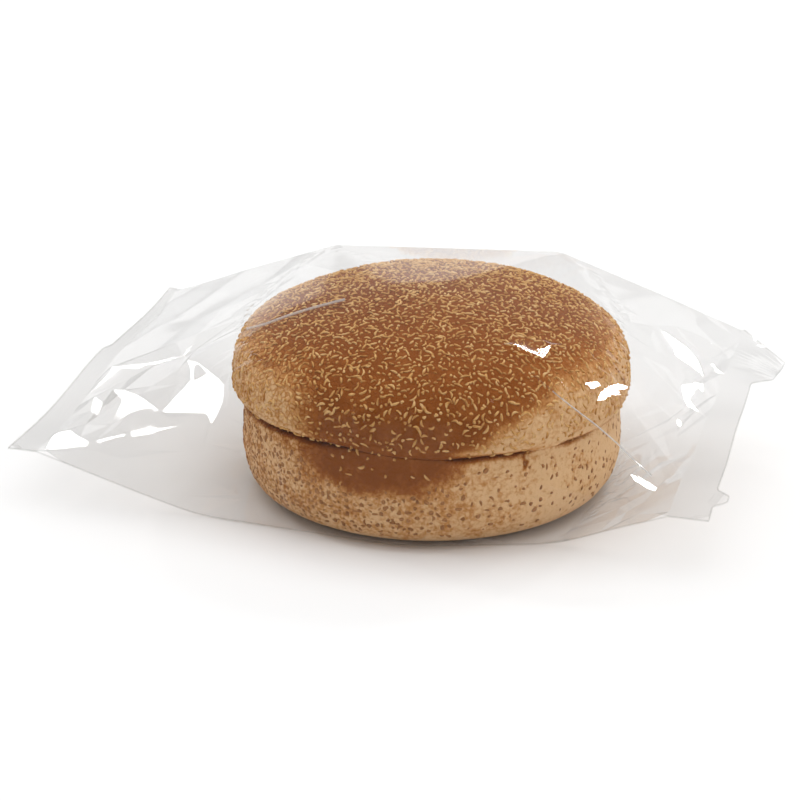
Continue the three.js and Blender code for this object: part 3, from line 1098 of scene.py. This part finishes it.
def floor_material():
    material, tree = new_material("floor")
    shader = tree.nodes["Principled BSDF"]
    shader.inputs["Base Color"].default_value = (0.86, 0.86, 0.86, 1)
    shader.inputs["Roughness"].default_value = 0.9
    shader.inputs["Specular IOR Level"].default_value = 0.0
    return material


# ---- stage

def build_floor():
    corners = [(x * FLOOR_HALF, y * FLOOR_HALF, FLOOR_Z) for x, y in ((-1, -1), (1, -1), (1, 1), (-1, 1))]
    floor = mesh_object("floor", corners, [(0, 1, 2, 3)], smooth_shading=False)
    floor.data.materials.append(floor_material())
    return floor


def camera_place(azimuth, elevation, distance):
    """A point at this azimuth, in degrees from -Y towards +X, and this elevation."""
    a, e = math.radians(azimuth), math.radians(elevation)
    return Vector((math.sin(a) * math.cos(e), -math.cos(a) * math.cos(e), math.sin(e))) * distance


def camera_frame():
    """The camera's place, and its ahead, right and up axes. It is aimed to suit BUN_PIXEL."""
    place = camera_place(CAMERA_AZIMUTH, CAMERA_ELEVATION, CAMERA_DISTANCE)
    back = place.normalized()
    right = Vector((0, 0, 1)).cross(back).normalized()
    up = back.cross(right)
    off_right = (IMAGE_SIDE / 2 - BUN_PIXEL[0]) * PIXEL * CAMERA_DISTANCE
    off_up = (BUN_PIXEL[1] - IMAGE_SIDE / 2) * PIXEL * CAMERA_DISTANCE
    ahead = (right * off_right + up * off_up - place).normalized()
    right = ahead.cross((0, 0, 1)).normalized()
    return np.array(place), np.array(ahead), np.array(right), np.array(right.cross(ahead))


def sight(pixel):
    """The direction from the camera through a pixel of the photograph."""
    _, ahead, right, up = camera_frame()
    return ahead + right * (pixel[0] - IMAGE_SIDE / 2) * PIXEL + up * (IMAGE_SIDE / 2 - pixel[1]) * PIXEL


def place_camera():
    camera = add_object("camera", bpy.data.cameras.new("camera"))
    camera.data.lens = CAMERA_LENS
    camera.data.sensor_width = SENSOR
    camera.data.clip_start = 0.01
    place, ahead, _, _ = camera_frame()
    camera.location = place * MM
    camera.rotation_euler = Vector(ahead).to_track_quat("-Z", "Y").to_euler()
    bpy.context.scene.camera = camera


def lamp_place(name):
    azimuth, elevation, _, _ = LAMPS[name]
    return np.array(camera_place(CAMERA_AZIMUTH + azimuth, elevation, LAMP_DISTANCE))


def soft_box(name, place, width, radiance):
    """A square lamp that faces the bun. Its power follows from its radiance."""
    lamp = bpy.data.lights.new(name, "AREA")
    lamp.size = width * MM
    lamp.energy = radiance * math.pi * lamp.size ** 2
    holder = add_object(name, lamp)
    holder.location = Vector(place) * MM
    holder.rotation_euler = (-holder.location).to_track_quat("-Z", "Y").to_euler()
    return holder


def light_world():
    """A dim white room with a bright low wall behind the bun."""
    world = bpy.data.worlds.new("studio")
    bpy.context.scene.world = world
    world.use_nodes = True
    tree = world.node_tree
    place = tree.nodes.new("ShaderNodeTexCoord")
    away = tree.nodes.new("ShaderNodeVectorMath")
    away.operation = "DOT_PRODUCT"
    away.inputs[1].default_value = camera_place(CAMERA_AZIMUTH + 180, 0, 1)
    tree.links.new(place.outputs["Generated"], away.inputs[0])
    parts = tree.nodes.new("ShaderNodeSeparateXYZ")
    tree.links.new(place.outputs["Generated"], parts.inputs[0])
    wall_edge = math.cos(math.radians(WALL_HALF_ANGLE))
    behind = math_node(tree, "GREATER_THAN", away.outputs["Value"], wall_edge)
    low = math_node(tree, "LESS_THAN", parts.outputs["Z"], math.sin(math.radians(WALL_TOP)))
    wall = math_node(tree, "MULTIPLY", behind, low)
    level = math_node(tree, "MULTIPLY_ADD", wall, WALL_RADIANCE - ROOM_RADIANCE, ROOM_RADIANCE)
    background = tree.nodes["Background"]
    tree.links.new(level, background.inputs["Strength"])
    background.inputs["Color"].default_value = (1, 1, 1, 1)


def light_scene():
    light_world()
    overhead = soft_box("overhead", (0, 0, LAMP_DISTANCE), OVERHEAD_WIDTH, OVERHEAD_RADIANCE)
    overhead.visible_glossy = False
    for name, (_, _, width, radiance) in LAMPS.items():
        soft_box(name, lamp_place(name), width, radiance)
    bpy.context.scene.view_settings.view_transform = "Standard"
    bpy.context.scene.view_settings.look = "None"


# ---- assembly

place_camera()
light_scene()
build_floor()
crumb_material()
crown, crown_rings = build_crown()
heel, heel_rings = build_heel()
flakes = build_flakes(crown_rings, heel_rings)
specks = build_specks(heel_rings)
film = build_film()
SLOTS = {film: "film", crown: "crown_crust", heel: "heel_crust", flakes: "flakes", specks: "heel_crust"}
for piece, slot in SLOTS.items():
    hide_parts("bag")
    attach(piece, "root")
